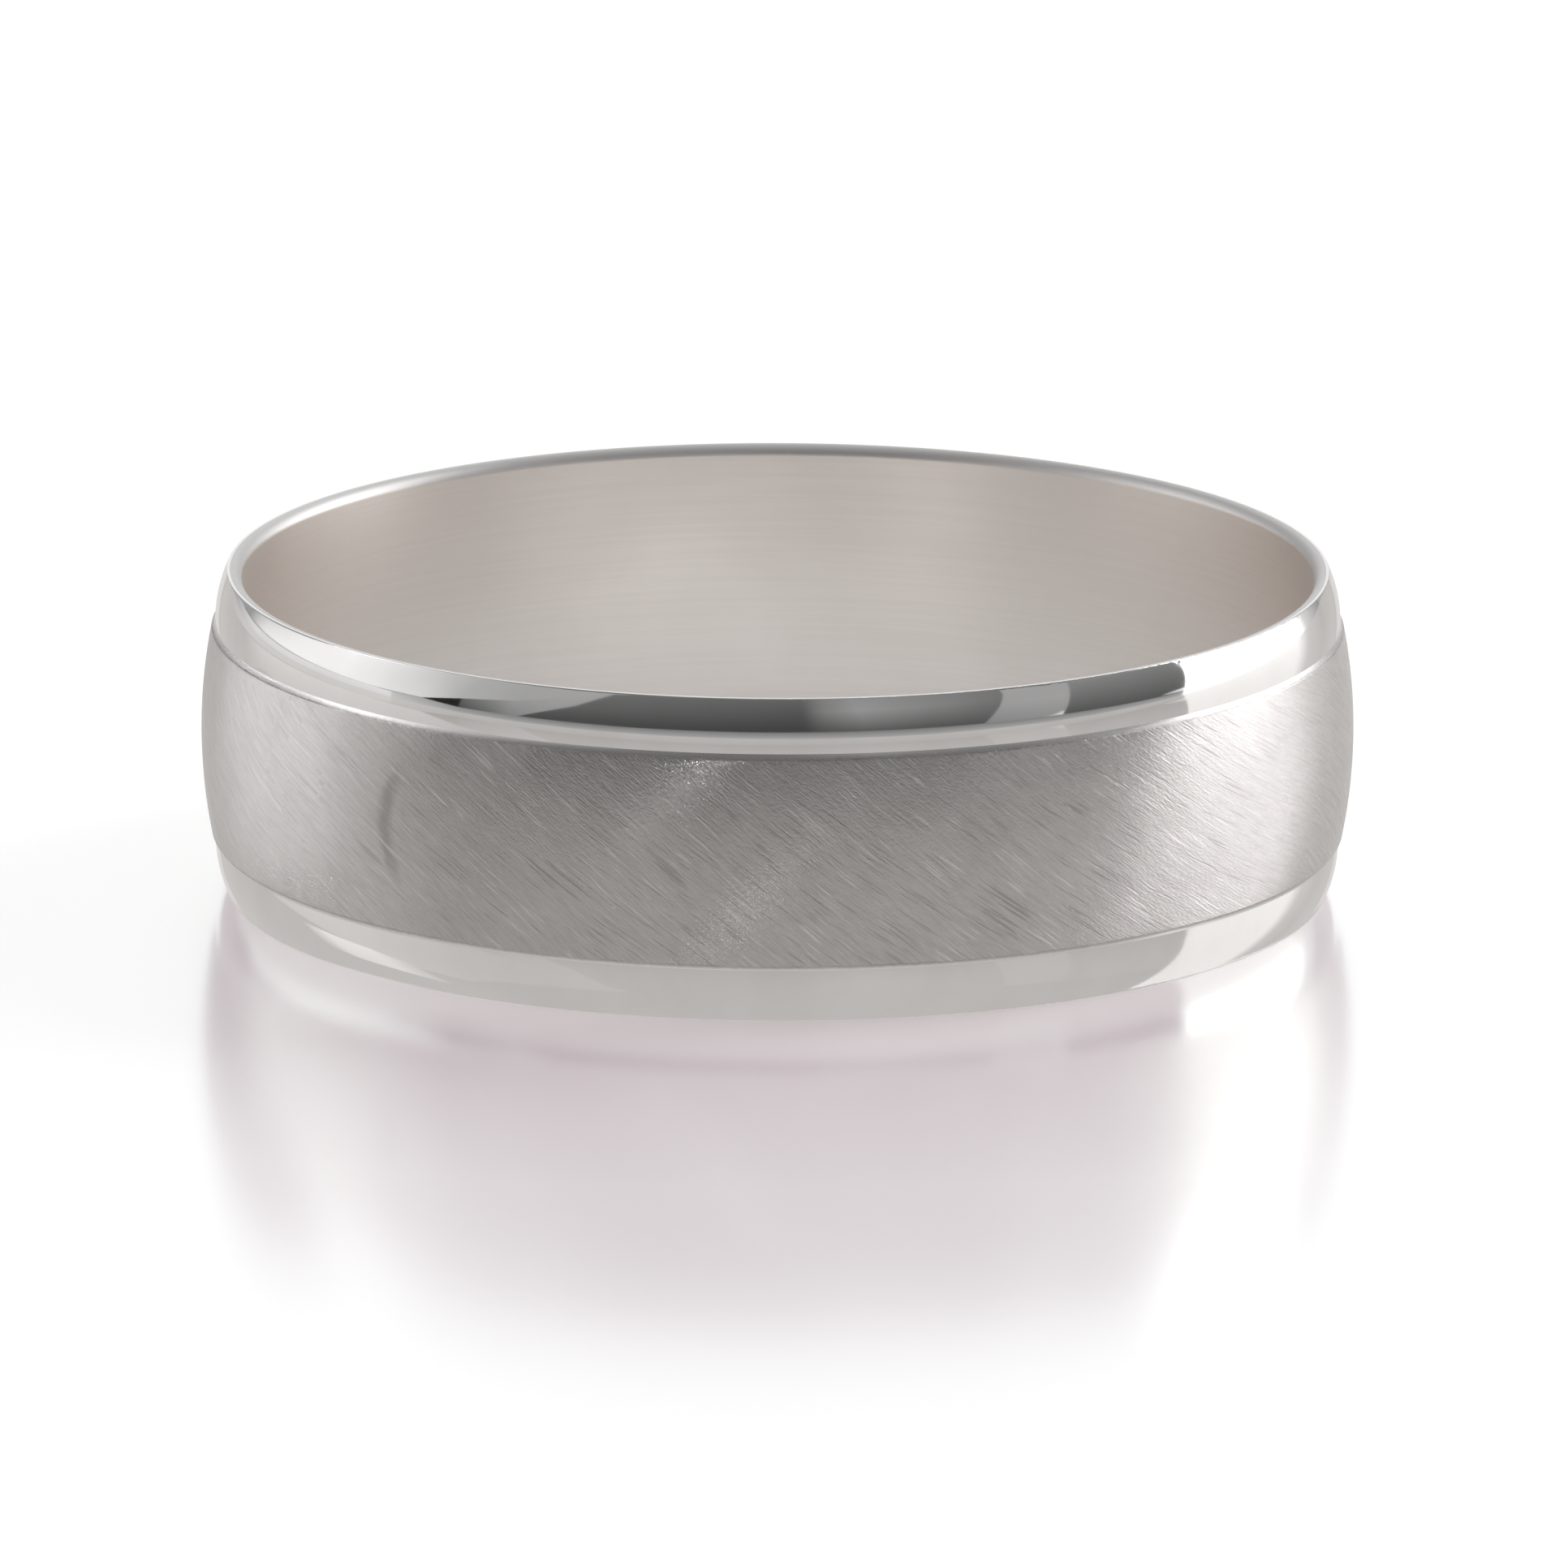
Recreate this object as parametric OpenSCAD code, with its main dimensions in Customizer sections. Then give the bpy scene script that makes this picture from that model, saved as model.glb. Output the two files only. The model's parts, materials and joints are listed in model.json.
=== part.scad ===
// Wedding band: a brushed, crowned centre band between two polished edge rails,
// all three fitted over a thin inner sleeve that carries the finger bore.
// The finger axis is Z and the origin is the centre of the bore, at half the width.

/* [Finger bore] */
// Diameter of the finger bore
bore_d = 19.8; // [14:0.1:24]
// Radius of the rounded edge at each mouth of the bore
bore_edge_r = 0.2; // [0.05:0.01:0.2]

/* [Sleeve] */
// Wall of the inner sleeve
sleeve_wall = 0.22; // [0.2:0.01:0.6]
// Width of the ring along the finger, the same as the sleeve's length
band_w = 6; // [4:0.1:12]

/* [Edge rails] */
// Width of each polished edge rail along the finger
rail_w = 0.98; // [0.6:0.05:1.6]
// Wall of a rail where it meets the centre band
rail_wall = 0.27; // [0.2:0.01:0.6]
// Width of the flat land on the end of a rail
rail_land = 0.05; // [0.03:0.01:0.1]
// Height of the rail's dome above a straight line from land to crease
rail_dome = 0.06; // [0.02:0.01:0.1]

/* [Centre band] */
// Height of the polished shoulder above the rail
shoulder_h = 0.07; // [0.03:0.01:0.2]
// Width of the polished shoulder along the finger
shoulder_w = 0.11; // [0.05:0.01:0.25]
// Rise of the brushed crown from its edges to its middle
crown_h = 0.19; // [0.05:0.01:0.5]

/* [Fit] */
// Radial clearance between the sleeve and the rings around it, none when brazed
sleeve_fit = 0; // [0:0.01:0.03]

/* [Quality] */
// Facets round the ring in a quick preview
ring_facets = 180; // [60:10:360]
// Straight steps in each curved part of a profile
arc_steps = 16; // [8:1:32]

/* [Hidden] */

half_w = band_w / 2;
bore_r = bore_d / 2;
sleeve_r = bore_r + sleeve_wall;
seat_r = sleeve_r + sleeve_fit;
land_r = seat_r + rail_land;
crease_r = seat_r + rail_wall;
crease_z = half_w - rail_w;
brushed_r = crease_r + shoulder_h;
brushed_z = crease_z - shoulder_w;

// Points of a circular arc from a to b that stands out by h at its middle
function arc_between(a, b, h) =
  let(
    chord = b - a,
    span = norm(chord),
    radius = (span * span / 4 + h * h) / (2 * h),
    out = [chord.y, -chord.x] / span,
    centre = (a + b) / 2 - (radius - h) * out,
    half_angle = asin(span / 2 / radius)
  )
  [
    for (i = [0 : arc_steps])
      let(t = half_angle * (2 * i / arc_steps - 1))
      centre + radius * (cos(t) * out + sin(t) * chord / span)
  ];

// Quarter round at a mouth of the bore, from the end face down to the wall
function mouth_round(side) =
  [
    for (i = [0 : arc_steps])
      let(t = 90 * i / arc_steps)
      [
        bore_r + bore_edge_r * (1 - sin(t)),
        side * (half_w - bore_edge_r * (1 - cos(t)))
      ]
  ];

module turned(profile) {
  rotate_extrude($fn = ring_facets)
    polygon(profile);
}

module edge_rail(side) {
  dome = arc_between([crease_r, crease_z], [land_r, half_w], rail_dome);
  profile = concat([[seat_r, half_w], [seat_r, crease_z]], dome);
  turned([for (p = profile) [p.x, side * p.y]]);
}

module inner_sleeve() {
  lower_mouth = mouth_round(-1);
  upper_mouth = mouth_round(1);
  color("gainsboro")
    turned(concat(
      [[sleeve_r, half_w], [sleeve_r, -half_w]],
      lower_mouth,
      [for (i = [arc_steps : -1 : 0]) upper_mouth[i]]
    ));
}

module centre_band() {
  crown = arc_between([brushed_r, -brushed_z], [brushed_r, brushed_z], crown_h);
  color("darkgray")
    turned(concat(
      [[seat_r, crease_z], [seat_r, -crease_z], [crease_r, -crease_z]],
      crown,
      [[crease_r, crease_z]]
    ));
}

module upper_edge_rail() {
  color("silver") edge_rail(1);
}

module lower_edge_rail() {
  color("silver") edge_rail(-1);
}

inner_sleeve();
centre_band();
upper_edge_rail();
lower_edge_rail();
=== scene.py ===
import json
import math

import bpy
from mathutils import Matrix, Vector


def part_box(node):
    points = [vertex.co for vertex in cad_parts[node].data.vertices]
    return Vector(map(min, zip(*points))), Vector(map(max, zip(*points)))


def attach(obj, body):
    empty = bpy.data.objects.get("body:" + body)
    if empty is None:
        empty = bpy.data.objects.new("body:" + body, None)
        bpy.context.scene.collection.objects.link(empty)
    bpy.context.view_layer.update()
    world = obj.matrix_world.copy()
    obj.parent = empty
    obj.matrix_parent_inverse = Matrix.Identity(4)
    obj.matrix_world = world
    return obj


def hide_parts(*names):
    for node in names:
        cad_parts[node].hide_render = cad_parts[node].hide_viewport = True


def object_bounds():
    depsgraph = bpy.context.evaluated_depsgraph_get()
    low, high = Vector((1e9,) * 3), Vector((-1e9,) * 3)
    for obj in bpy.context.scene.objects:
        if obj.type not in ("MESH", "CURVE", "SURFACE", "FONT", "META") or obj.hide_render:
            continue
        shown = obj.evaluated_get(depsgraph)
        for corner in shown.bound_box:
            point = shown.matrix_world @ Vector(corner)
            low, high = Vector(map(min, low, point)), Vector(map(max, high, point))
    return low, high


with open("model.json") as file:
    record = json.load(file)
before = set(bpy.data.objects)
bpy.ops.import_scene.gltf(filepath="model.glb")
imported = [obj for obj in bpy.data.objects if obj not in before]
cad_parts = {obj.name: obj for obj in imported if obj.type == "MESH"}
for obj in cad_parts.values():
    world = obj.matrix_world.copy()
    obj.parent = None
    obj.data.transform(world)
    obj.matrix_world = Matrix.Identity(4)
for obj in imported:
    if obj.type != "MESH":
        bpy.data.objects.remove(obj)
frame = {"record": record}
cadLow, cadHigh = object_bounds()

mm = 0.001
scene = bpy.context.scene
scene.view_settings.view_transform = "Standard"


# A socket that can be written in Python expressions: every operator adds one Math node.
class Value:
    def __init__(self, nodes, socket):
        self.nodes = nodes
        self.socket = socket

    def maths(self, operation, *others):
        return self.nodes.maths(operation, self, *others)

    def __add__(self, other):
        return self.maths("ADD", other)

    def __sub__(self, other):
        return self.maths("SUBTRACT", other)

    def __mul__(self, other):
        return self.maths("MULTIPLY", other)

    def __truediv__(self, other):
        return self.maths("DIVIDE", other)

    def __pow__(self, other):
        return self.maths("POWER", other)

    def __rsub__(self, other):
        return self.nodes.maths("SUBTRACT", other, self)

    def __rtruediv__(self, other):
        return self.nodes.maths("DIVIDE", other, self)

    __radd__ = __add__
    __rmul__ = __mul__

    def clamped(self):
        return self.maths("MAXIMUM", 0.0).maths("MINIMUM", 1.0)

    def absolute(self):
        return self.maths("ABSOLUTE")

    # 0 below low, 1 above high, straight between
    def ramp(self, low, high):
        return ((self - low) / (high - low)).clamped()


class Nodes:
    def __init__(self, tree):
        self.tree = tree
        self.tree.nodes.clear()

    # settings are the node's own properties, sockets its inputs by name or number
    def add(self, kind, settings=None, sockets=None, output=0):
        node = self.tree.nodes.new(kind)
        for name, setting in (settings or {}).items():
            setattr(node, name, setting)
        for name, given in (sockets or {}).items():
            if isinstance(given, Value):
                self.tree.links.new(given.socket, node.inputs[name])
            else:
                node.inputs[name].default_value = given
        return Value(self, node.outputs[output]) if node.outputs else node

    def maths(self, operation, *operands):
        return self.add("ShaderNodeMath", {"operation": operation}, dict(enumerate(operands)))

    def split(self, vector):
        parts = self.add("ShaderNodeSeparateXYZ", sockets={0: vector})
        return [Value(self, output) for output in parts.socket.node.outputs]

    def vector(self, x, y, z):
        return self.add("ShaderNodeCombineXYZ", sockets={0: x, 1: y, 2: z})

    def mixColours(self, factor, first, second):
        sockets = {0: factor, 6: first, 7: second}
        return self.add("ShaderNodeMix", {"data_type": "RGBA"}, sockets, output=2)

    def mixShaders(self, factor, first, second):
        return self.add("ShaderNodeMixShader", sockets={0: factor, 1: first, 2: second})

    def addShaders(self, first, second):
        return self.add("ShaderNodeAddShader", sockets={0: first, 1: second})

    def noise(self, vector, scale, detail=2.0, roughness=0.5):
        return self.add("ShaderNodeTexNoise", sockets={
            "Vector": vector, "Scale": scale, "Detail": detail, "Roughness": roughness})

    def bump(self, strength, distance, height):
        return self.add("ShaderNodeBump", sockets={
            "Strength": strength, "Distance": distance, "Height": height})


def newMaterial(name):
    material = bpy.data.materials.new(name)
    material.use_nodes = True
    return material, Nodes(material.node_tree)


# The rings' main radii and heights, as the frame has them
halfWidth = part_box("inner_sleeve")[1].z
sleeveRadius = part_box("inner_sleeve")[1].x
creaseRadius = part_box("upper_edge_rail")[1].x
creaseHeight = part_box("upper_edge_rail")[0].z
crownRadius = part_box("centre_band")[1].x
boreRadius = next(m["dims"]["r_mm"] for m in frame["record"]["mounts"] if m["name"] == "finger_bore") * mm
tableHeight = cadLow.z


# Points of an arc from start to end that stands out by rise at its middle, (radius, height) each
def arcPoints(start, end, rise, steps):
    run, climb = end[0] - start[0], end[1] - start[1]
    span = math.hypot(run, climb)
    radius = (span * span / 4 + rise * rise) / (2 * rise)
    outX, outY = climb / span, -run / span
    centreX = (start[0] + end[0]) / 2 - (radius - rise) * outX
    centreY = (start[1] + end[1]) / 2 - (radius - rise) * outY
    halfAngle = math.asin(min(1.0, span / 2 / radius))
    points = []
    for i in range(steps + 1):
        t = halfAngle * (2 * i / steps - 1)
        outward, along = radius * math.cos(t), radius * math.sin(t)
        points.append((centreX + outward * outX + along * run / span,
                       centreY + outward * outY + along * climb / span))
    return points


# Rounds the corners of a closed profile: each corner is (radius, height, rounding)
def roundedProfile(corners, steps=3):
    points = []
    for i, (x, y, rounding) in enumerate(corners):
        if rounding == 0:
            points.append((x, y))
            continue
        before, after = corners[i - 1], corners[(i + 1) % len(corners)]
        reach = [math.hypot(before[0] - x, before[1] - y), math.hypot(after[0] - x, after[1] - y)]
        cut = [min(rounding, 0.45 * r) / r for r in reach]
        start = (x + (before[0] - x) * cut[0], y + (before[1] - y) * cut[0])
        end = (x + (after[0] - x) * cut[1], y + (after[1] - y) * cut[1])
        for k in range(steps + 1):
            t = k / steps
            points.append(tuple(
                (1 - t) ** 2 * start[a] + 2 * t * (1 - t) * (x, y)[a] + t * t * end[a] for a in (0, 1)))
    return points


def withCorners(points, rounding=0.0):
    return [(x, y, rounding) for x, y in points]


# Geometry Nodes tree that turns a closed profile round the finger axis and dents one edge of it
def latheTree():
    tree = bpy.data.node_groups.new("turnedRing", "GeometryNodeTree")
    nodes = Nodes(tree)
    wanted = [("Profile", "Geometry"), ("Facets", "Int"), ("Path Radius", "Float"), ("Edge Radius", "Float"),
              ("Edge Height", "Float"), ("Edge Reach", "Float"), ("Dent Depth", "Float"),
              ("Dent Size", "Float"), ("Seed", "Float"), ("Metal", "Material")]
    for name, kind in wanted:
        tree.interface.new_socket(name, in_out="INPUT", socket_type="NodeSocket" + kind)
    tree.interface.new_socket("Ring", in_out="OUTPUT", socket_type="NodeSocketGeometry")
    given = nodes.add("NodeGroupInput").socket.node.outputs
    wire = {name: Value(nodes, given[name]) for name, _ in wanted}

    outline = nodes.add("GeometryNodeMeshToCurve", sockets={"Mesh": wire["Profile"]})
    path = nodes.add("GeometryNodeCurvePrimitiveCircle", {"mode": "RADIUS"},
                     {"Resolution": wire["Facets"], "Radius": wire["Path Radius"]})
    path = nodes.add("GeometryNodeSetCurveNormal", {"mode": "Z_UP"}, {"Curve": path})
    ring = nodes.add("GeometryNodeCurveToMesh", sockets={"Curve": path, "Profile Curve": outline})

    # dents: where a noise is high, only within the reach of the edge circle, and mostly on one side
    place = nodes.add("GeometryNodeInputPosition")
    x, y, z = nodes.split(place)
    radius = (x * x + y * y) ** 0.5
    upward = z.maths("SIGN")
    away = (radius - wire["Edge Radius"]) ** 2 + (z.absolute() - wire["Edge Height"]) ** 2
    nearness = (1 - away ** 0.5 / wire["Edge Reach"]).clamped()
    seeded = nodes.vector(x + wire["Seed"], y, z)
    bite = nodes.noise(seeded, 1 / wire["Dent Size"], 3.0).ramp(0.5, 0.85)
    knocked = x.ramp(0.0, 4 * mm) * 0.8 + 0.2
    drop = bite * nearness * knocked * wire["Dent Depth"] * upward * -1
    ring = nodes.add("GeometryNodeSetPosition", sockets={
        "Geometry": ring, "Offset": nodes.vector(0.0, 0.0, drop)})

    ring = nodes.add("GeometryNodeSetMaterial", sockets={"Geometry": ring, "Material": wire["Metal"]})
    ring = nodes.add("GeometryNodeRealizeInstances", sockets={"Geometry": ring})
    nodes.add("NodeGroupOutput", sockets={"Ring": ring})
    return tree


lathe = latheTree()
sharpAngle = 24.0                # degrees, past which an edge shades as a corner


def turnedPiece(name, profile, settings, metal):
    print("turning", name)
    outline = bpy.data.meshes.new(name + "Profile")
    count = len(profile)
    outline.from_pydata([(r - sleeveRadius, -z, 0.0) for r, z in reversed(profile)],
                        [(i, (i + 1) % count) for i in range(count)], [])
    piece = bpy.data.objects.new(name, outline)
    scene.collection.objects.link(piece)
    modifier = piece.modifiers.new("lathe", "NODES")
    modifier.node_group = lathe
    values = settings | {"Path Radius": sleeveRadius, "Metal": metal}
    for item in lathe.interface.items_tree:
        if item.item_type == "SOCKET" and item.in_out == "INPUT" and item.name in values:
            modifier[item.identifier] = values[item.name]
    evaluated = piece.evaluated_get(bpy.context.evaluated_depsgraph_get())
    finished = bpy.data.meshes.new_from_object(evaluated)
    piece.modifiers.clear()
    piece.data = finished
    finished.name = name
    finished.polygons.foreach_set("use_smooth", [True] * len(finished.polygons))
    finished.set_sharp_from_angle(angle=math.radians(sharpAngle))
    return piece


def metalShader(nodes, colour, roughness, normal=None, **constants):
    sockets = {"Base Color": colour, "Metallic": 1.0, "Roughness": roughness}
    if normal is not None:
        sockets["Normal"] = normal
    sockets.update({name.replace("_", " "): given for name, given in constants.items()})
    return nodes.add("ShaderNodeBsdfPrincipled", sockets=sockets)


def finishMaterial(nodes, shader):
    nodes.add("ShaderNodeOutputMaterial", sockets={"Surface": shader})


# Position on the piece in millimetres, and the parts that the patterns use
def millimetres(nodes):
    coordinates = nodes.add("ShaderNodeTexCoord", output=3)
    place = nodes.add("ShaderNodeVectorMath", {"operation": "SCALE"}, {0: coordinates, "Scale": 1 / mm})
    x, y, z = nodes.split(place)
    radius = (x * x + y * y) ** 0.5
    return place, x, y, z, radius


# Fine rings left by a lathe or a polishing mop: fast across the surface, slow round it
def latheLines(nodes, x, y, z, radius, linesPerMm, drift):
    place = nodes.vector(radius * linesPerMm + x * drift, z * linesPerMm, y * drift)
    return nodes.noise(place, 1.0, 3.0, 0.6)


polishedLook = {
    "colour": (0.78, 0.77, 0.765, 1.0),
    "smudged": (0.73, 0.72, 0.71, 1.0),
    # the colour of compound in the crease, which also paints the shade there and along the brushed edge
    "grimeAndShade": (0.26, 0.235, 0.215, 1.0),
    "roughness": 0.035,
    "haze": 0.05,
    "linesPerMm": 9.0,
    "lineHeight": 0.00003 * mm,
    "creaseWidth": 0.012,        # mm of compound and painted shade on either side of the crease
    "creaseShare": 0.12,
    "edgeWidth": 0.07,           # mm of compound and painted shade against the brushing
    "edgeShare": 0.8,
    "shoulderBlur": 0.17,        # the shoulder is polished less than the rails
}


# Compound left in the groove between band and rail, with painted shade: a trace in the crease, thicker
# against the brushing
def grimeAndShade(z, edge=None):
    look = polishedLook
    depth = (z.absolute() - creaseHeight / mm).absolute()
    dark = (1 - depth.ramp(0.0, look["creaseWidth"])) * look["creaseShare"]
    if edge is not None:
        packedAndShaded = 1 - (z.absolute() - edge).ramp(0.0, look["edgeWidth"])
        dark = dark.maths("MAXIMUM", packedAndShaded * look["edgeShare"])
    return dark


def polishedShader(nodes, blur=0.0, edge=None):
    look = polishedLook
    place, x, y, z, radius = millimetres(nodes)
    haze = nodes.noise(place, 0.9, 4.0, 0.6).ramp(0.42, 0.75)
    lines = latheLines(nodes, x, y, z, radius, look["linesPerMm"], 0.5)
    # darker in the crease and against the brushing: compound and painted shade
    dark = grimeAndShade(z, edge)
    colour = nodes.mixColours(haze * 0.6, look["colour"], look["smudged"])
    colour = nodes.mixColours(dark * 0.8, colour, look["grimeAndShade"])
    roughness = look["roughness"] + blur + haze * look["haze"] + lines * 0.015 + dark * 0.2
    normal = nodes.bump(0.5, look["lineHeight"], lines)
    return metalShader(nodes, colour, roughness, normal)


def polishedMaterial():
    material, nodes = newMaterial("mirrorPolish")
    finishMaterial(nodes, polishedShader(nodes))
    return material


satinLook = {
    "colour": (0.91, 0.865, 0.83, 1.0),
    "shaded": (0.87, 0.82, 0.78, 1.0),
    "mouth": (0.70, 0.69, 0.685, 1.0),
    "mouthRoughness": 0.52,
    "roughness": 0.34,
    "anisotropy": 0.45,
    "anisotropyTurn": 0.25,
    "linesPerMm": 14.0,
    "lineHeight": 0.0002 * mm,
}


def satinMaterial():
    look = satinLook
    material, nodes = newMaterial("turnedSatin")
    place, x, y, z, radius = millimetres(nodes)
    lines = latheLines(nodes, x, y, z, radius, look["linesPerMm"], 0.25)
    cloud = nodes.noise(place, 0.5, 3.0)
    colour = nodes.mixColours((lines * 0.6 + cloud * 0.4).ramp(0.35, 0.7), look["colour"], look["shaded"])
    roughness = look["roughness"] + (lines - 0.5) * 0.08 + (cloud - 0.5) * 0.06
    # the rounded mouth of the bore is rubbed softer
    mouth = z.absolute().ramp(halfWidth / mm - 0.2, halfWidth / mm - 0.1)
    colour = nodes.mixColours(mouth, colour, look["mouth"])
    roughness = roughness * (1 - mouth) + look["mouthRoughness"] * mouth
    normal = nodes.bump(0.6, look["lineHeight"], lines)
    shader = metalShader(nodes, colour, roughness, normal,
                         Anisotropic=look["anisotropy"], Anisotropic_Rotation=look["anisotropyTurn"])
    finishMaterial(nodes, shader)
    return material


brushedLook = {
    # both colours are darker than clean white metal, and groove darker still: painted shade of the torn
    # metal's self-shadowing in its grooves
    "colour": (0.585, 0.57, 0.56, 1.0),
    "groove": (0.475, 0.46, 0.45, 1.0),
    # cut also colours the painted reflection and the painted shade along the brushed edge
    "cut": (0.26, 0.24, 0.23, 1.0),
    "fleck": (0.90, 0.89, 0.88, 1.0),
    "roughness": 0.20,
    "burnish": 0.06,
    "softRoughness": 0.56,
    "softShare": 0.36,           # of the light that the torn metal scatters all round
    "passes": 3,                 # the wheel was laid on this many times round the ring
    "passCentre": 4.0,           # degrees round from the front
    "strokeAngle": 39.0,         # degrees below the rim, falling to the right
    "anisotropy": 1.0,
    "anisotropyTurn": 51.0 / 360,
    "strokeHeight": 0.008 * mm,
    # each layer of strokes: its lean in degrees, scale per mm, stretch, detail, roughness and seed
    "fine": (0.0, 30.0, 12.0, 2.0, 0.6, 1.0),
    "crossing": (4.0, 20.0, 20.0, 2.0, 0.6, 2.0),
    "grain": (-3.0, 34.0, 3.0, 1.0, 0.5, 6.0),
    "dense": (0.0, 1.5, 2.0, 2.0, 0.5, 3.0),
    "cuts": (-2.0, 22.0, 30.0, 2.0, 0.55, 4.0),
    "bright": (2.5, 22.0, 26.0, 2.0, 0.55, 5.0),
    "cutShade": 0.60,
    "brightShade": 0.42,
    "burrShade": 0.6,
    "wornLeft": (-9.2, -6.2, 0.6),   # worn between these places across, mm, by this share
    "wornRight": (8.0, 9.4, 0.65),
    "markShade": 0.58,
    "markTurn": -42.0,           # a painted dark reflection, in degrees round from the front
    "markReach": 1.3,            # from its middle to its ends, mm
}


# Where a point lies in its pass of the wheel: across the strokes, along them, and a number for the pass.
# In one pass the strokes are all but parallel in space, and the passes run into each other raggedly.
def brushingPass(nodes, place, x, y, z):
    look = brushedLook
    step = 2 * math.pi / look["passes"]
    ragged = (nodes.noise(place, 1.6, 2.0) - 0.5) * 0.35
    turned = (x.maths("ARCTAN2", y * -1) - math.radians(look["passCentre"])) / step
    number = (turned + ragged).maths("ROUND")
    bearing = number * step + math.radians(look["passCentre"])
    level = x * bearing.maths("COSINE") + y * bearing.maths("SINE")
    tilt = math.radians(look["strokeAngle"])
    wander = (nodes.noise(place, 0.7, 2.0) - 0.5) * 0.08
    across = level * math.sin(tilt) + z * math.cos(tilt) + wander
    along = level * math.cos(tilt) - z * math.sin(tilt)
    return across, along, number.maths("FLOORED_MODULO", float(look["passes"])) * 7.3


# Noise drawn out along the strokes, leaning off them by some degrees
def strokes(nodes, swept, lean, perMm, stretch, detail, roughness, seed):
    across, along, number = swept
    tilt = math.radians(lean)
    acrossThese = across * math.cos(tilt) + along * math.sin(tilt)
    alongThese = (along * math.cos(tilt) - across * math.sin(tilt)) / stretch
    return nodes.noise(nodes.vector(acrossThese, alongThese, number + seed), perMm, detail, roughness)


# A painted reflection: a soft dark line bowed to the left, the edge of the white paper beside the ring
# mirrored in the band, and a faint painted shade beside it
def paintedEdgeReflection(nodes, place, x, y, z):
    turn = math.radians(brushedLook["markTurn"])
    level = x * math.cos(turn) + y * math.sin(turn)
    outward = x * math.sin(turn) - y * math.cos(turn)
    ragged = (nodes.noise(place, 2.6, 3.0) - 0.5) * 0.26
    rise = z - 0.1
    away = (level + ragged - rise * rise * 0.26).absolute()
    ends = 1 - rise.absolute().ramp(0.5 * brushedLook["markReach"], brushedLook["markReach"])
    shade = (1 - (level - 1.7).absolute().ramp(0.4, 3.4)) * 0.34
    return ((1 - away.ramp(0.05, 0.28)) * ends).maths("MAXIMUM", shade) * outward.ramp(0.0, 1.0)


def brushedMaterial():
    look = brushedLook
    material, nodes = newMaterial("diagonalBrush")
    place, x, y, z, _ = millimetres(nodes)
    swept = brushingPass(nodes, place, x, y, z)
    fine = strokes(nodes, swept, *look["fine"])
    crossing = strokes(nodes, swept, *look["crossing"])
    grain = strokes(nodes, swept, *look["grain"])
    facets = nodes.noise(place, 15.0, 1.0) * (1 - x.ramp(1.5, 4.5))
    patches = nodes.noise(place, 0.6, 4.0, 0.65)
    dense = strokes(nodes, swept, *look["dense"]).ramp(0.38, 0.62)
    cuts = strokes(nodes, swept, *look["cuts"]).ramp(0.57, 0.67) * (dense * 0.45 + 0.45)
    bright = strokes(nodes, swept, *look["bright"]).ramp(0.58, 0.66) * (1 - dense * 0.7)
    # the strokes are worn away at both ends of the front
    leftFrom, leftTo, leftShare = look["wornLeft"]
    rightFrom, rightTo, rightShare = look["wornRight"]
    worn = (1 - (1 - x.ramp(leftFrom, leftTo)) * leftShare) * (1 - x.ramp(rightFrom, rightTo) * rightShare)

    # the shoulder is polished: the brushing stops on an edge that the strokes have torn a little
    torn = nodes.noise(place, 7.0, 3.0, 0.7)
    edge = shoulderEdge / mm + 0.02 + (torn - 0.5) * 0.05
    polished = z.absolute().maths("GREATER_THAN", edge)
    # a dark line along the brushed side of the edge: compound left there and painted shade of the edge
    edgeCompoundAndShade = (1 - (edge - z.absolute()).ramp(0.005, 0.03)) * nodes.noise(place, 2.2, 3.0).ramp(0.35, 0.65)

    tone = (fine * 0.35 + crossing * 0.3 + grain * 0.15 + patches * 0.2).ramp(0.38, 0.62)
    colour = nodes.mixColours(tone, look["colour"], look["groove"])
    # a painted reflection of the paper's edge, with painted shade beside it
    mark = paintedEdgeReflection(nodes, place, x, y, z)
    dark = (cuts * worn * look["cutShade"]).maths("MAXIMUM", mark * look["markShade"])
    dark = dark.maths("MAXIMUM", edgeCompoundAndShade * look["burrShade"])
    colour = nodes.mixColours(dark, colour, look["cut"])
    colour = nodes.mixColours(bright * worn * look["brightShade"], colour, look["fleck"])
    # where the grain stands proud the metal is burnished, and glints
    burnished = grain.ramp(0.50, 0.60)
    roughness = look["roughness"] + (fine - 0.5) * 0.10 + (patches - 0.5) * 0.06
    roughness = roughness - burnished * look["burnish"]
    height = fine * 0.45 + crossing * 0.5 + grain * 0.7 + facets * 0.22 - cuts * 0.38 + bright * 0.28
    normal = nodes.bump(1.0, look["strokeHeight"], height * worn)
    lined = metalShader(nodes, colour, roughness, normal,
                        Anisotropic=look["anisotropy"], Anisotropic_Rotation=look["anisotropyTurn"])
    soft = metalShader(nodes, colour, look["softRoughness"], normal)
    brushed = nodes.mixShaders(look["softShare"], lined, soft)
    shoulder = polishedShader(nodes, polishedLook["shoulderBlur"], edge)
    finishMaterial(nodes, nodes.mixShaders(polished, brushed, shoulder))
    return material


sleeveShape = {
    "mouthRound": 0.2 * mm,
    "mouthSteps": 10,
    "Facets": 1440,
    "Dent Depth": 0.008 * mm,
    "Dent Size": 0.10 * mm,
    "Edge Reach": 0.06 * mm,
    "Seed": 0.31,
}

railShape = {
    "land": 0.05 * mm,
    "dome": 0.06 * mm,
    "edgeRound": 0.012 * mm,
    "steps": 26,
    "Facets": 1440,
    "Dent Depth": 0.016 * mm,
    "Dent Size": 0.09 * mm,
    "Edge Reach": 0.05 * mm,
    "Seed": 0.17,
}

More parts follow.
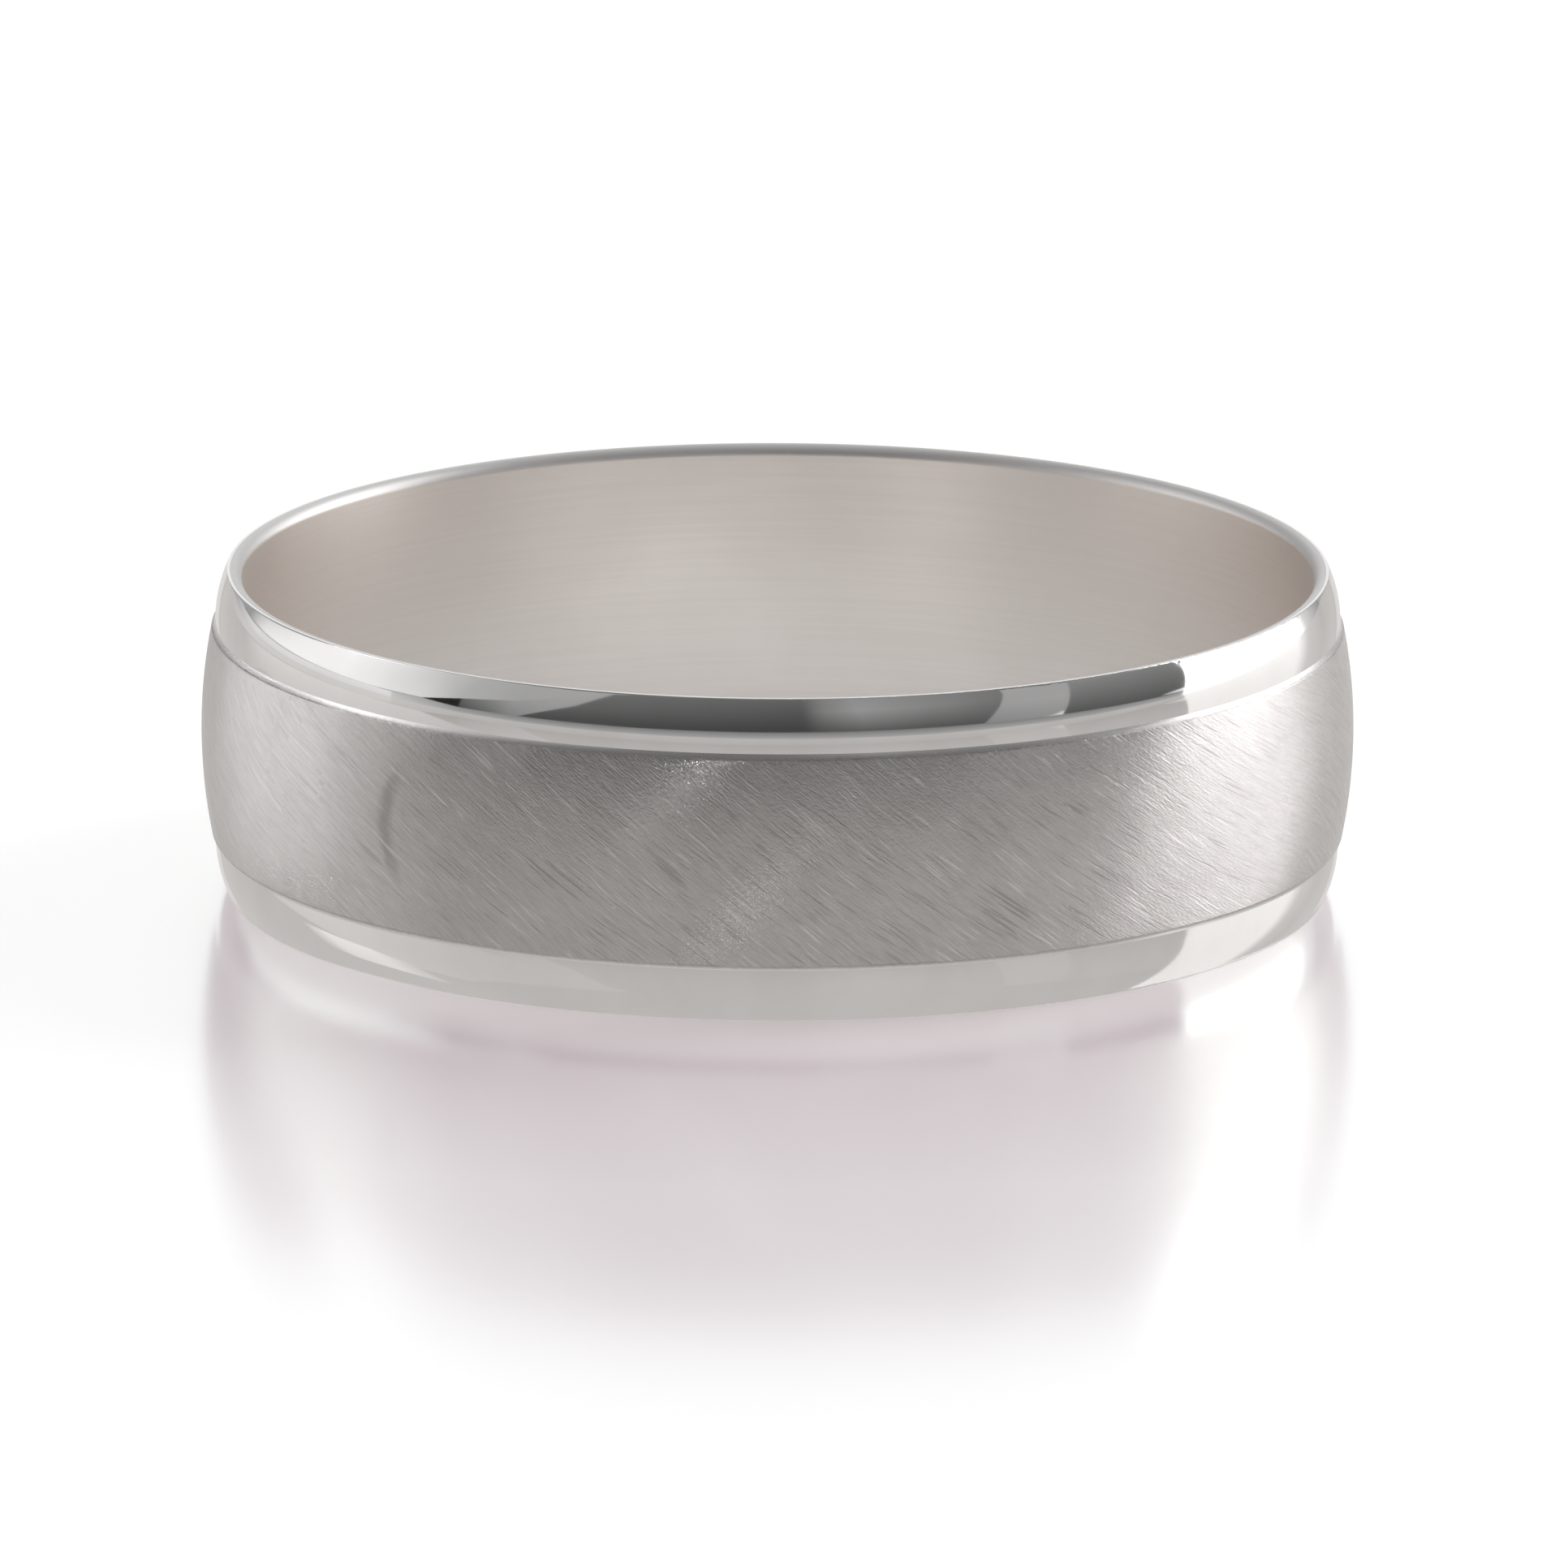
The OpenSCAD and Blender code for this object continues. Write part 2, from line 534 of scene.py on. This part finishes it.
bandShape = {
    "shoulderHeight": 0.07 * mm,
    "shoulderWidth": 0.11 * mm,
    "shoulderDish": 0.003 * mm,
    "edgeRound": 0.006 * mm,
    "steps": 40,
    "Facets": 1440,
    "Dent Depth": 0.01 * mm,
    "Dent Size": 0.12 * mm,
    "Edge Reach": 0.05 * mm,
    "Seed": 0.53,
}

landRadius = sleeveRadius + railShape["land"]
brushedRadius = creaseRadius + bandShape["shoulderHeight"]
shoulderEdge = creaseHeight - bandShape["shoulderWidth"]


def sleeveProfile():
    shape = sleeveShape
    turn = shape["mouthRound"]
    quarter = [
        (boreRadius + turn * (1 - math.sin(t)), halfWidth - turn * (1 - math.cos(t)))
        for t in (math.pi / 2 * i / shape["mouthSteps"] for i in range(shape["mouthSteps"] + 1))]
    return [(sleeveRadius, -halfWidth), (sleeveRadius, halfWidth)] + quarter \
        + [(r, -z) for r, z in reversed(quarter)]


def railProfile(side):
    shape = railShape
    dome = arcPoints((creaseRadius, creaseHeight), (landRadius, halfWidth), shape["dome"], shape["steps"])
    corners = [(sleeveRadius, halfWidth, 0.0), (sleeveRadius, creaseHeight, 0.0)]
    corners += withCorners(dome[:-1]) + [(*dome[-1], shape["edgeRound"])]
    points = roundedProfile(corners)
    return points if side > 0 else [(r, -z) for r, z in reversed(points)]


def bandProfile():
    shape = bandShape
    crown = arcPoints((brushedRadius, -shoulderEdge), (brushedRadius, shoulderEdge),
                      crownRadius - brushedRadius, shape["steps"])
    dish = arcPoints(crown[-1], (creaseRadius, creaseHeight), -shape["shoulderDish"], 10)
    corners = withCorners(dish[1:]) + [(sleeveRadius, creaseHeight, 0.0), (sleeveRadius, -creaseHeight, 0.0)]
    corners += withCorners([(r, -z) for r, z in reversed(dish[1:])])
    turn = shape["edgeRound"]
    corners += [(*crown[0], turn)] + withCorners(crown[1:-1]) + [(*crown[-1], turn)]
    return roundedProfile(corners)


polished = polishedMaterial()
satin = satinMaterial()
brushed = brushedMaterial()

# where each ring has its knocks: on the rim of the bore, the brushed corner and the rails' lands
boreRim = {"Edge Radius": boreRadius + sleeveShape["mouthRound"] / 2, "Edge Height": halfWidth}
brushedCorner = {"Edge Radius": brushedRadius, "Edge Height": shoulderEdge}
railLand = {"Edge Radius": landRadius, "Edge Height": halfWidth}

sleeve = turnedPiece("innerSleeve", sleeveProfile(), sleeveShape | boreRim, satin)
band = turnedPiece("centreBand", bandProfile(), bandShape | brushedCorner, brushed)
upperRail = turnedPiece("upperEdgeRail", railProfile(1), railShape | railLand, polished)
lowerRail = turnedPiece("lowerEdgeRail", railProfile(-1), railShape | railLand, polished)

dressed = [(sleeve, "inner_sleeve", "bore_satin"), (band, "centre_band", "brushed"),
           (upperRail, "upper_edge_rail", "polished"), (lowerRail, "lower_edge_rail", "polished")]
for piece, node, slot in dressed:
    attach(piece, "root")
    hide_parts(node)


print("setting up the studio")

studio = {
    "distance": 0.60,            # from the ring to the cards round it
    "floorRadius": 3.0,
    "tableColour": 0.8,          # as other surfaces see it
    "paper": 0.60,               # share of the table's white that is lit, and so takes a shadow
    "paperGlow": 1.07,           # the table's white in all, a little more than full
    "paperLight": 0.62,          # light that falls on the lit share
    "ghost": (0.56, 0.635, 0.60),  # how much of the ring the table mirrors
    "ghostBlur": 0.16,
    "ghostFade": (11.0, 22.0, 0.26),  # from and to this far from the axis, mm, by this share
    "tableInMetal": (0.60, 0.582, 0.565),  # how pale the polished metal sees the table
    "tableCoat": 0.30,
    "gloss": 0.12,
    "glossBlur": 0.03,
    "lampReach": 0.8,            # of the cards' distance
    "glintSize": 0.003,
    "glintTurn": -6.0,
    "glintRise": (19.0, -24.0),
    "glintPower": (0.18, 0.03),
    # turn and rise in degrees, width and height in metres, brightness
    "sidePanels": [(-119, -3, 0.40, 0.36, 0.43), (101, -12, 0.42, 0.36, 0.62)],
}


# The cards share one material, which takes its brightness from the card's own mesh
def cardMaterial():
    material, nodes = newMaterial("cardLight")
    tone = nodes.add("ShaderNodeAttribute", {"attribute_name": "tone"}, output=2)
    finishMaterial(nodes, nodes.add("ShaderNodeEmission", sockets={"Color": (1, 1, 1, 1), "Strength": tone}))
    return material


def finishCard(name, points, faces, tones):
    mesh = bpy.data.meshes.new(name)
    mesh.from_pydata(points, [], faces)
    mesh.attributes.new("tone", "FLOAT", "POINT").data.foreach_set("value", tones)
    mesh.materials.append(cardLight)
    card = bpy.data.objects.new(name, mesh)
    scene.collection.objects.link(card)
    card.visible_camera = False


# A curved card round the ring, drawn between upright edges. Each edge is its turn at the foot and at
# the head, its low and its high angle above the table, and its brightness at the foot and at the head.
# Turns are degrees from the camera's side, to its right.
def addCard(name, edges, nearer=1.0, steps=8, rows=10):
    distance = studio["distance"] * nearer
    points, tones, faces = [], [], []
    across = (len(edges) - 1) * steps
    for i in range(across + 1):
        section = min(i // steps, len(edges) - 2)
        before, after = edges[section], edges[section + 1]
        share = (i - steps * section) / steps
        footTurn, headTurn, low, high, footTone, headTone = \
            (p + (q - p) * share for p, q in zip(before, after))
        for j in range(rows + 1):
            climb = j / rows
            turn = math.radians(footTurn + (headTurn - footTurn) * climb)
            rise = math.radians(low + (high - low) * climb)
            reach = distance * math.cos(rise)
            height = tableHeight + distance * math.sin(rise)
            points.append((reach * math.sin(turn), -reach * math.cos(turn), height))
            tones.append(footTone + (headTone - footTone) * climb)
    for i in range(across):
        for j in range(rows):
            a = i * (rows + 1) + j
            faces.append((a, a + rows + 1, a + rows + 2, a + 1))
    finishCard(name, points, faces, tones)


cardLight = cardMaterial()

# behind all the others, so that no gap between them is left open
addCard("backdrop", [
    (-163, -163, 0, 64, 0.36, 0.40), (-92, -92, 0, 64, 0.42, 0.42), (-70, -70, 0, 64, 0.15, 0.24),
    (96, 96, 0, 64, 0.15, 0.26), (120, 120, 0, 64, 0.26, 0.30), (163, 163, 0, 64, 0.34, 0.38)], nearer=1.04)
addCard("ceiling", [(-180, -180, 60, 90, 0.50, 0.70), (0, 0, 60, 90, 0.35, 0.70),
                    (180, 180, 60, 90, 0.50, 0.70)], nearer=1.05, steps=24)

# the dim room past the camera, with one window in it
addCard("roomLeftLow", [(-53.3, -42.5, 4.8, 20, 0.085, 0.15), (-20, -15, 6.0, 20, 0.072, 0.12),
                        (5.6, 5.6, 6.2, 20, 0.062, 0.10)], nearer=0.96)
addCard("roomLeftHigh", [(-42.5, -25, 20, 64, 0.15, 0.26), (5.6, 5.6, 20, 64, 0.10, 0.24)], nearer=0.96)
addCard("roomMiddleLow", [(5.6, 5.6, 6.2, 26, 0.062, 0.13), (9.4, 9.4, 6.2, 26, 0.10, 0.27),
                          (17, 17, 6.2, 26, 0.13, 0.38), (30, 30, 6.0, 26, 0.11, 0.31),
                          (52, 52, 5.2, 26, 0.10, 0.20)], nearer=0.96)
addCard("roomMiddleHigh", [(5.6, 5.6, 26, 64, 0.13, 0.24), (9.4, 9.4, 26, 64, 0.27, 0.24),
                           (17, 17, 26, 64, 0.38, 0.28), (30, 30, 26, 64, 0.31, 0.28),
                           (52, 52, 26, 64, 0.20, 0.28)], nearer=0.96)
addCard("roomRight", [(52, 52, 5.0, 36, 0.11, 0.34), (98, 98, 1.6, 36, 0.12, 0.34)], nearer=0.96)
addCard("windowLow", [(42, 47, 5.4, 20, 0.30, 0.42), (59.2, 63.3, 4.6, 20, 0.36, 0.46)], nearer=0.955)
addCard("windowHigh", [(47, 52, 20, 36, 0.42, 0.46), (63.3, 68, 20, 36, 0.46, 0.42)], nearer=0.955)
addCard("windowCorner", [(55.2, 57, 4.8, 5.6, 0.5, 0.4), (59.2, 59.7, 4.6, 8, 0.95, 0.7)], nearer=0.95)
addCard("tableEdge", [
    (-84, -84, 0, 4.0, 0.72, 0.66), (-76, -76, 0, 5.3, 0.58, 0.46), (-66.5, -66.5, 0, 3.9, 0.46, 0.34),
    (-52, -52, 0, 4.8, 0.46, 0.27), (-14, -14, 0, 6.1, 0.46, 0.25), (14, 14, 0, 6.1, 0.46, 0.25),
    (43, 43, 0, 5.4, 0.46, 0.26), (59, 59, 0, 4.6, 0.46, 0.28),
    (89.5, 89.5, 0, 2.1, 0.46, 0.34)], nearer=0.945)

# the gap between the reflector and the table's edge
addCard("gapDark", [(-76.2, -76.2, 5.3, 5.6, 0.03, 0.03), (-67, -67, 3.9, 11.4, 0.02, 0.02)], nearer=0.935)
addCard("gapGrey", [(-67, -67, 3.8, 11.4, 0.10, 0.16), (-60, -60, 4.2, 15.4, 0.18, 0.30),
                    (-55.6, -55.6, 4.5, 17.5, 0.28, 0.40), (-46, -46, 4.8, 26.2, 0.38, 0.45),
                    (-34, -34, 4.8, 38, 0.42, 0.46)], nearer=0.98)
addCard("reflectorLeft", [
    (-138, -138, 3.0, 14, 0.40, 0.40), (-129, -129, 3.3, 12, 1.05, 0.80), (-118, -118, 3.6, 17, 1.15, 1.05),
    (-100, -100, 3.9, 27, 1.15, 1.20), (-90, -90, 4.1, 34, 1.05, 1.00), (-76.2, -76.2, 5.4, 40, 0.84, 0.62),
    (-67, -67, 11.3, 38, 0.54, 0.50), (-55.6, -55.6, 17.4, 38, 0.46, 0.46), (-46, -46, 26, 38, 0.46, 0.46),
    (-34, -34, 37, 38, 0.46, 0.46)], nearer=0.925)
addCard("reflectorHigh", [(-117, -115, 21, 30, 1.0, 0.6), (-110, -108, 23, 34, 2.8, 2.2),
                          (-98, -96, 27, 39, 2.8, 2.3), (-88, -86, 33, 44, 1.0, 0.8)], nearer=0.92)
addCard("reflectorFoot", [(-142, -142, 2.5, 3.0, 0.30, 0.30), (-119, -119, 3.3, 3.6, 0.58, 0.58),
                          (-82, -82, 4.0, 4.2, 0.72, 0.72)], nearer=0.93)
addCard("paperLeft", [(-150, -150, 0, 2.2, 0.45, 0.50), (-132, -132, 0, 2.7, 0.84, 0.92),
                      (-84, -84, 0, 4.0, 0.86, 0.94)], nearer=0.94)
addCard("softboxFoot", [(84, 84, 3.2, 3.5, 0.7, 0.7), (90, 90, 2.4, 4.6, 1.0, 1.0)], nearer=0.93)
addCard("softboxLow", [(89.0, 93.6, -0.2, 20, 2.0, 3.1), (131, 130, -0.2, 20, 2.2, 3.1),
                       (137, 136, -0.2, 20, 0.8, 1.0), (148, 147, -0.2, 20, 0.34, 0.34)], nearer=0.9)
addCard("softboxHigh", [(93.6, 104, 20, 48, 3.1, 3.6), (130, 126, 20, 48, 3.1, 3.6),
                        (136, 132, 20, 48, 1.0, 0.5), (147, 140, 20, 48, 0.34, 0.34)], nearer=0.9)
addCard("backRight", [(128, 128, 0, 50, 0.36, 0.40), (160, 160, 0, 50, 0.50, 0.50)], nearer=0.95)
addCard("backLeft", [(-160, -160, 0, 50, 0.50, 0.50), (-134, -134, 0, 50, 0.36, 0.40)], nearer=0.97)


# Paper lying on the table, between two turns and two radii, with a brightness for each place
def addPaper(name, turns, reaches, height, toneAt, steps=24):
    points, faces = [], []
    for i in range(steps + 1):
        turn = math.radians(turns[0] + (turns[1] - turns[0]) * i / steps)
        for reach in reaches:
            points.append((reach * math.sin(turn), -reach * math.cos(turn), tableHeight + height))
    count = len(reaches)
    for i in range(steps):
        for j in range(count - 1):
            a = i * count + j
            faces.append((a, a + 1, a + count + 1, a + count))
    finishCard(name, points, faces, [toneAt(x / mm, y / mm) for x, y, _ in points])


# white paper inside the ring for the bore to mirror, brightest in front and right of the middle
def innerTone(x, y):
    peak = math.exp(-((x - 1.8 + 0.3 * y) / 4.6) ** 2)
    return (0.555 + 0.32 * peak) * (1 - 0.036 * (y + 2))


addPaper("innerPaper", (0, 360), [r * mm for r in (0.05, 2, 4, 6, 8, 9.6)], 0.02 * mm, innerTone)


# Lamps that shine on the band alone. Two small bare ones close to the camera's line make the brushing
# glint, the lower one standing for the upper one's image in the glossy table.
def addBandLamp(name, kind, turn, rise, power):
    data = bpy.data.lights.new(name, kind)
    data.energy = power
    lamp = bpy.data.objects.new(name, data)
    scene.collection.objects.link(lamp)
    turn, climb = math.radians(turn), math.radians(rise)
    reach = studio["distance"] * studio["lampReach"]
    lamp.location = (reach * math.cos(climb) * math.sin(turn), -reach * math.cos(climb) * math.cos(turn),
                     reach * math.sin(climb))
    lamp.rotation_euler = lamp.location.to_track_quat("Z", "Y").to_euler()
    lamp.light_linking.receiver_collection = bandOnly
    lamp.light_linking.blocker_collection = bandOnly
    return data


bandOnly = bpy.data.collections.new("bandOnly")
bandOnly.objects.link(band)
for rise, power in zip(studio["glintRise"], studio["glintPower"]):
    glint = addBandLamp("glint", "POINT", studio["glintTurn"], rise, power)
    glint.shadow_soft_size = studio["glintSize"]

# and a broad one on either side carries the reflector and the softbox into the torn metal
for turn, rise, width, height, tone in studio["sidePanels"]:
    panel = addBandLamp("sidePanel", "AREA", turn, rise, 4 * width * height * tone)
    panel.shape = "RECTANGLE"
    panel.size, panel.size_y = width, height
    panel.cycles.use_multiple_importance_sampling = False


# To the camera the table is white paper that mirrors the ring a little, and to metal it is paler than
# the room and mirrors the cards
def floorMaterial():
    material, nodes = newMaterial("whiteTable")
    path = nodes.add("ShaderNodeLightPath").socket.node.outputs
    forCamera, forMetal = Value(nodes, path["Is Camera Ray"]), Value(nodes, path["Is Glossy Ray"])

    def matt(tone):
        return nodes.add("ShaderNodeBsdfDiffuse", sockets={"Color": (tone, tone, tone, 1.0)})

    def glowing(tone):
        return nodes.add("ShaderNodeEmission", sockets={"Color": (*tone, 1.0), "Strength": 1.0})

    def mirroring(tone, blur):
        return nodes.add("ShaderNodeBsdfGlossy", sockets={"Color": (*tone, 1.0), "Roughness": blur})

    ghost = studio["ghost"]
    lit = studio["paper"]
    paper = matt(lit)
    rest = studio["paperGlow"] - studio["paperLight"] * lit
    plain = nodes.addShaders(paper, glowing([rest] * 3))
    white = nodes.addShaders(paper, glowing([max(0.0, rest - k) for k in ghost]))
    glossy = nodes.addShaders(white, mirroring(ghost, studio["ghostBlur"]))
    radius = millimetres(nodes)[-1]
    near, far, faded = studio["ghostFade"]
    seen = nodes.mixShaders(radius.ramp(near, far) * faded, glossy, plain)
    pale = nodes.add("ShaderNodeBsdfPrincipled", sockets={
        "Base Color": (0, 0, 0, 1), "Specular IOR Level": 0.0,
        "Emission Color": (*studio["tableInMetal"], 1.0), "Emission Strength": 1.0,
        "Coat Weight": studio["tableCoat"], "Coat Roughness": studio["glossBlur"]})
    inMetal = nodes.addShaders(pale, mirroring([studio["gloss"]] * 3, studio["glossBlur"]))
    shader = nodes.mixShaders(forMetal, matt(studio["tableColour"]), inMetal)
    finishMaterial(nodes, nodes.mixShaders(forCamera, shader, seen))
    return material


def addFloor():
    reach = studio["floorRadius"]
    mesh = bpy.data.meshes.new("table")
    mesh.from_pydata([(-reach, -reach, tableHeight), (reach, -reach, tableHeight),
                      (reach, reach, tableHeight), (-reach, reach, tableHeight)], [], [(0, 1, 2, 3)])
    floor = bpy.data.objects.new("table", mesh)
    scene.collection.objects.link(floor)
    mesh.materials.append(floorMaterial())


def setWorld():
    world = bpy.data.worlds.new("studioAir")
    world.use_nodes = True
    nodes = Nodes(world.node_tree)
    air = nodes.add("ShaderNodeBackground", sockets={"Color": (1, 1, 1, 1), "Strength": 1.0})
    nodes.add("ShaderNodeOutputWorld", sockets={"Surface": air})
    scene.world = world


addFloor()
setWorld()


cameraSetup = {
    "elevation": 13.83,
    "distance": 40.0,            # in outer radii of the ring
    "focalLengths": 14.69,       # sensor widths
    "roll": 0.20,
    "aimRight": 0.012,           # in outer radii, from the ring's centre to the middle of the view
    "aimDown": 0.1016,
    "sensor": 36.0,
}


def addCamera():
    setup = cameraSetup
    data = bpy.data.cameras.new("camera")
    data.sensor_width = setup["sensor"]
    data.lens = setup["focalLengths"] * setup["sensor"]
    data.clip_start, data.clip_end = 0.01, 10.0
    camera = bpy.data.objects.new("camera", data)
    scene.collection.objects.link(camera)
    tilt = math.radians(setup["elevation"])
    away = setup["distance"] * crownRadius
    camera.location = (0.0, -away * math.cos(tilt), away * math.sin(tilt))
    swing = math.atan(setup["aimRight"] / setup["distance"])
    dip = math.atan(setup["aimDown"] / setup["distance"])
    aim = Matrix.Rotation(-swing, 4, "Z") @ Matrix.Rotation(math.pi / 2 - tilt - dip, 4, "X") \
        @ Matrix.Rotation(math.radians(setup["roll"]), 4, "Z")
    camera.rotation_euler = aim.to_euler()
    scene.camera = camera


addCamera()
